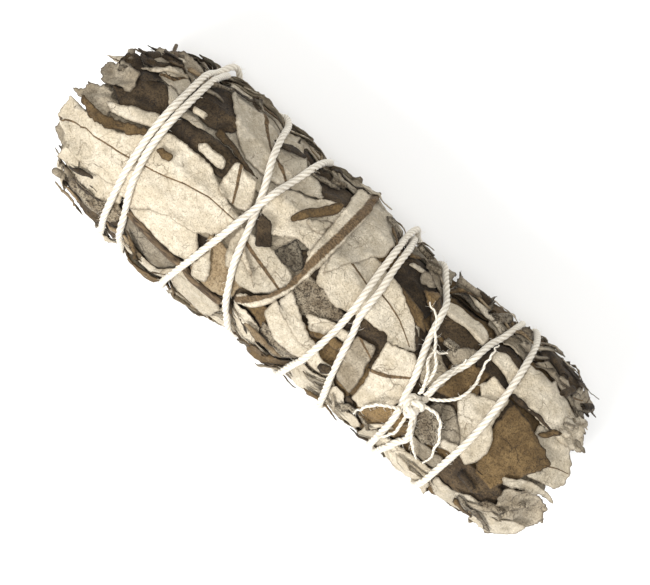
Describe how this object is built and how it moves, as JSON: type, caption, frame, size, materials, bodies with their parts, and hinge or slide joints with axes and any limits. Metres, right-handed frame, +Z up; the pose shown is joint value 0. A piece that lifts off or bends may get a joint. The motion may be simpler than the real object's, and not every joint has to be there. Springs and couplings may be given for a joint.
{
  "type": "yerba santa smudge bundle",
  "caption": "Dried yerba santa leaves packed around woody stems in a lying roll, bound with one white cotton string that is tied in a knot with unlaid ends.",
  "frame": {"origin": "centre of the bounding box, on the surface the bundle lies on", "axes": "+X along the bundle towards the end with the knot, +Z up"},
  "size_m": [0.0962, 0.0341, 0.032],
  "materials": {
    "leaf_pale": "dry woolly leaf underside, matt, fine felt and cracks",
    "leaf_grey": "dry leaf, greyed and matt",
    "leaf_brown": "dry papery brown leaf, matt with fine speckle",
    "leaf_dark": "dark dried upper side of a leaf, matt, resin specks",
    "stem": "thin woody stem, matt",
    "string": "off-white cotton, four-ply twisted, soft matt"
  },
  "bodies": {
    "root": {"stem_lower": "stem", "stem_left": "stem", "stem_right": "stem", "stem_side": "stem", "leaf_packed_1_1": "leaf_brown", "leaf_packed_1_2": "leaf_brown", "leaf_packed_2_1": "leaf_brown", "leaf_packed_2_2": "leaf_brown", "leaf_packed_3_1": "leaf_brown", "leaf_long_midrib": "leaf_pale", "leaf_lobe_left": "leaf_pale", "leaf_rolled_left": "leaf_brown", "leaf_dark_lower_left": "leaf_dark", "leaf_papery_strip": "leaf_brown", "leaf_pale_strip_left": "leaf_pale", "leaf_frayed_end_left": "leaf_grey", "leaf_dark_left": "leaf_dark", "leaf_curled_left": "leaf_grey", "leaf_upper_left": "leaf_grey", "leaf_dark_triangle": "leaf_dark", "leaf_wide_midrib": "leaf_pale", "leaf_upper_middle": "leaf_grey", "leaf_dark_upper": "leaf_dark", "leaf_folded_square": "leaf_pale", "leaf_cracked": "leaf_pale", "leaf_short_midrib": "leaf_pale", "leaf_olive": "leaf_brown", "leaf_beside_stem": "leaf_pale", "leaf_under_stem": "leaf_pale", "leaf_lower_left": "leaf_pale", "leaf_folded_band": "leaf_pale", "leaf_wrapped": "leaf_pale", "leaf_under_pair": "leaf_pale", "leaf_fan_upper": "leaf_pale", "leaf_fan_lower": "leaf_pale", "leaf_brown_square": "leaf_brown", "leaf_square_cut": "leaf_pale", "leaf_lower_middle": "leaf_pale", "leaf_lower_right": "leaf_pale", "leaf_strip_upper": "leaf_pale", "leaf_crumpled_upper": "leaf_brown", "leaf_dark_knot": "leaf_dark", "leaf_under_knot": "leaf_pale", "leaf_under_turn": "leaf_pale", "leaf_short_right": "leaf_pale", "leaf_papery_right": "leaf_brown", "leaf_round_end": "leaf_pale", "leaf_flaked": "leaf_pale", "leaf_dark_upper_right": "leaf_dark", "leaf_strap_right": "leaf_grey", "leaf_lower_right_end": "leaf_pale", "leaf_curled_right_end": "leaf_grey", "leaf_back_upper": "leaf_grey", "leaf_back_upper_right": "leaf_grey", "leaf_back_lower": "leaf_grey", "leaf_back_lower_left": "leaf_grey", "leaf_back_inner": "leaf_grey", "leaf_rest_left": "leaf_pale", "leaf_rest_right": "leaf_pale", "binding_string": "string"}
  },
  "joints": []
}
